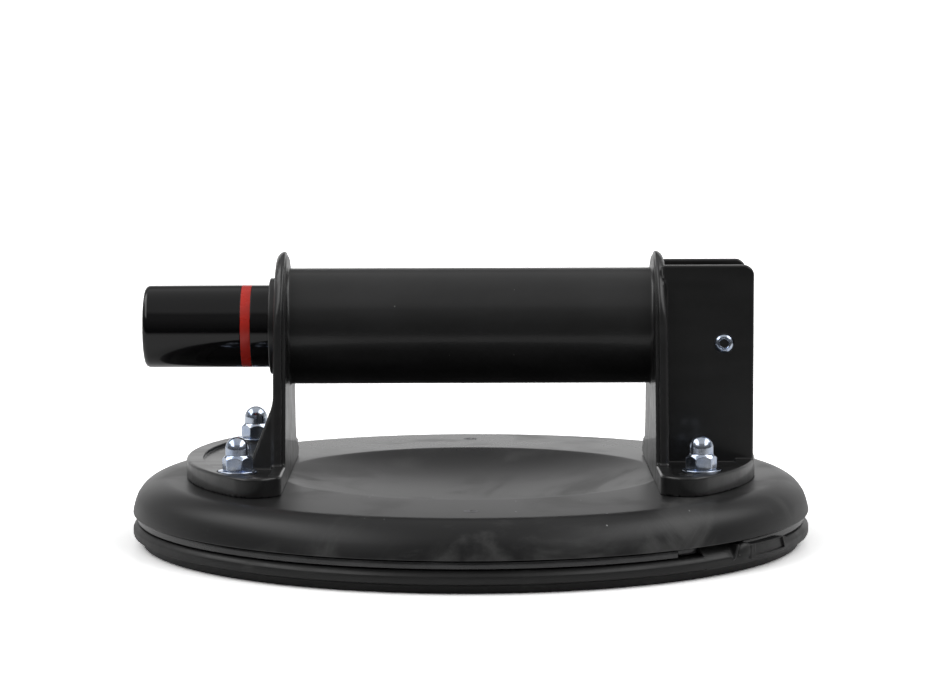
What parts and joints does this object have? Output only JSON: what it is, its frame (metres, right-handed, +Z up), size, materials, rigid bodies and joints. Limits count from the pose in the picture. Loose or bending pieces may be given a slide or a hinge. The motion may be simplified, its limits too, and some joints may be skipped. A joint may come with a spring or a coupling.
{
  "type": "vacuum suction cup",
  "caption": "Hand-held vacuum lifter: round rubber pad under a stiff cover plate, with a grip handle that houses a spring-return plunger pump and a release rocker.",
  "frame": {"origin": "centre of the pad's sealing face, on the surface it holds", "axes": "+Z up through the pad's axis, +X along the grip towards the release housing, -X towards the pump plunger"},
  "size_m": [0.2028, 0.2028, 0.0865],
  "materials": {
    "moulded_abs": "satin black moulded plastic with fine dust specks",
    "gloss_abs": "polished black",
    "cover_plate": "matte dark grey with pale handling marks",
    "backing_plate": "smooth black",
    "pad_rubber": "matte black rubber",
    "seal_rubber": "smooth black nitrile",
    "red_line": "red paint in a groove",
    "zinc_plate": "bright blue-white zinc plate",
    "spring_steel": "drawn wire",
    "cylinder_aluminium": "drawn tube",
    "brass": "turned",
    "acetal": "natural white",
    "filter_felt": "pressed felt"
  },
  "bodies": {
    "frame": {"handle": "moulded_abs", "pump_collar": "moulded_abs", "pump_cylinder": "cylinder_aluminium", "plunger_spring": "spring_steel", "cylinder_head": "acetal", "head_o_ring": "seal_rubber", "check_valve": "seal_rubber", "valve_spring": "spring_steel", "lever_pivot_screw": "zinc_plate", "lever_pivot_nut": "zinc_plate", "vacuum_hose": "seal_rubber", "pad_fitting": "brass", "port_filter": "filter_felt", "base_plate": "cover_plate", "base_screw_front": "zinc_plate", "base_screw_rear": "zinc_plate", "backing_plate": "backing_plate", "suction_pad": "pad_rubber", "stud_1": "zinc_plate", "stud_2": "zinc_plate", "stud_3": "zinc_plate", "stud_4": "zinc_plate", "washer_1": "zinc_plate", "washer_2": "zinc_plate", "washer_3": "zinc_plate", "washer_4": "zinc_plate", "cap_nut_1": "zinc_plate", "cap_nut_2": "zinc_plate", "cap_nut_3": "zinc_plate", "cap_nut_4": "zinc_plate"},
    "pump_plunger": {"plunger": "gloss_abs", "red_indicator_band": "red_line", "piston": "acetal", "piston_seal": "seal_rubber"},
    "rocker": {"release_lever": "moulded_abs"},
    "release_valve": {"release_stem": "brass", "valve_o_ring": "seal_rubber"}
  },
  "joints": [
    {"name": "pump_stroke", "type": "slide", "parent": "frame", "child": "pump_plunger", "axis": [1, 0, 0], "range_m": [0, 0.032], "deforming": ["plunger_spring"]},
    {"name": "release_press", "type": "hinge", "parent": "frame", "child": "rocker", "pos_m": [0.075, 0, 0.0598], "axis": [0, -1, 0], "range_deg": [0, 11]},
    {"name": "valve_open", "type": "slide", "parent": "frame", "child": "release_valve", "axis": [-1, 0, 0], "range_m": [0, 0.0018], "deforming": ["valve_spring"]}
  ],
  "couplings": [
    {"joint": "valve_open", "follows": "release_press", "m_per_rad": 0.0092}
  ]
}
